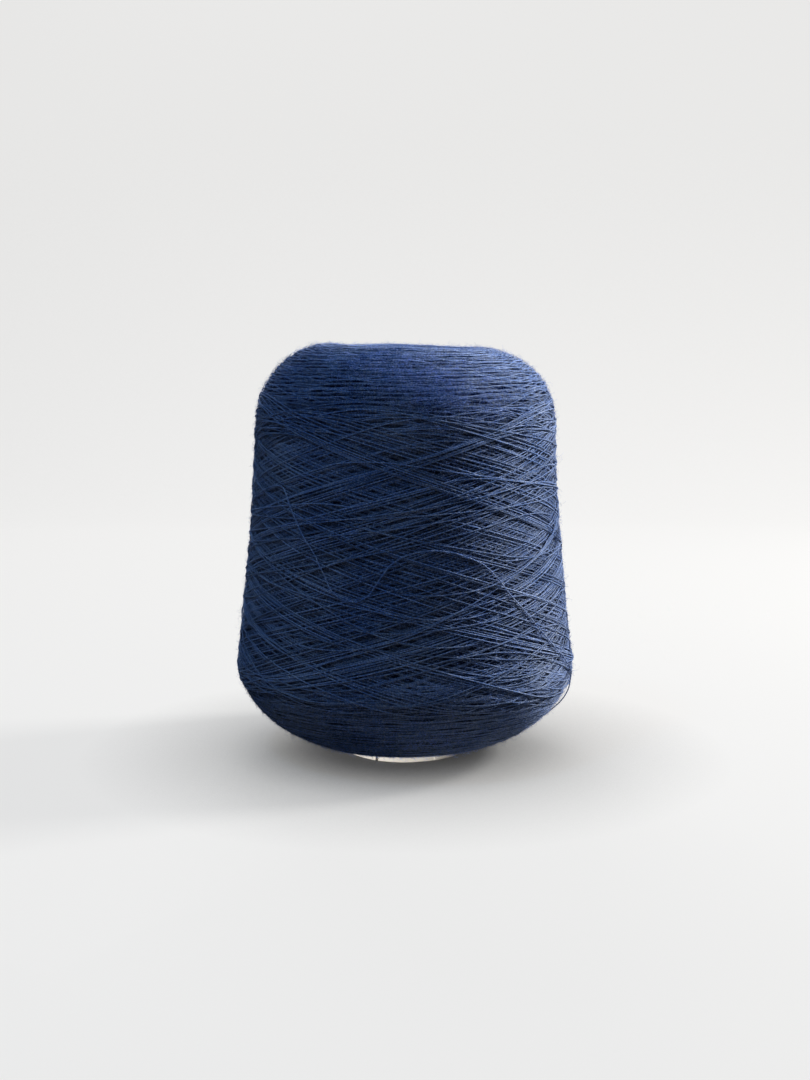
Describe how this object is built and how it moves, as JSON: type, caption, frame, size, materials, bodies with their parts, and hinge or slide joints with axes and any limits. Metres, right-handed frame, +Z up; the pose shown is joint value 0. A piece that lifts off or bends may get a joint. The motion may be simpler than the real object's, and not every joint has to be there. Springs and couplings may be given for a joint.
{
  "type": "cone of yarn",
  "caption": "Cross-wound package of wool yarn on a tapered paper cone, for knitting, weaving or an industrial machine's thread stand.",
  "frame": {"origin": "centre of the cone's base rim, in the plane that the cone stands on", "axes": "+Z up the cone's axis from its wide end to its nose, -Y to the front, where the outer end crosses the winding"},
  "size_m": [0.1684, 0.1684, 0.204],
  "materials": {
    "cone_paper": "matt cream-white rolled paper",
    "wool_yarn": "matt navy two-ply wool yarn, slightly hairy"
  },
  "bodies": {
    "root": {"paper_cone": "cone_paper", "wound_yarn": "wool_yarn", "outer_end": "wool_yarn", "inner_end": "wool_yarn"}
  },
  "joints": []
}
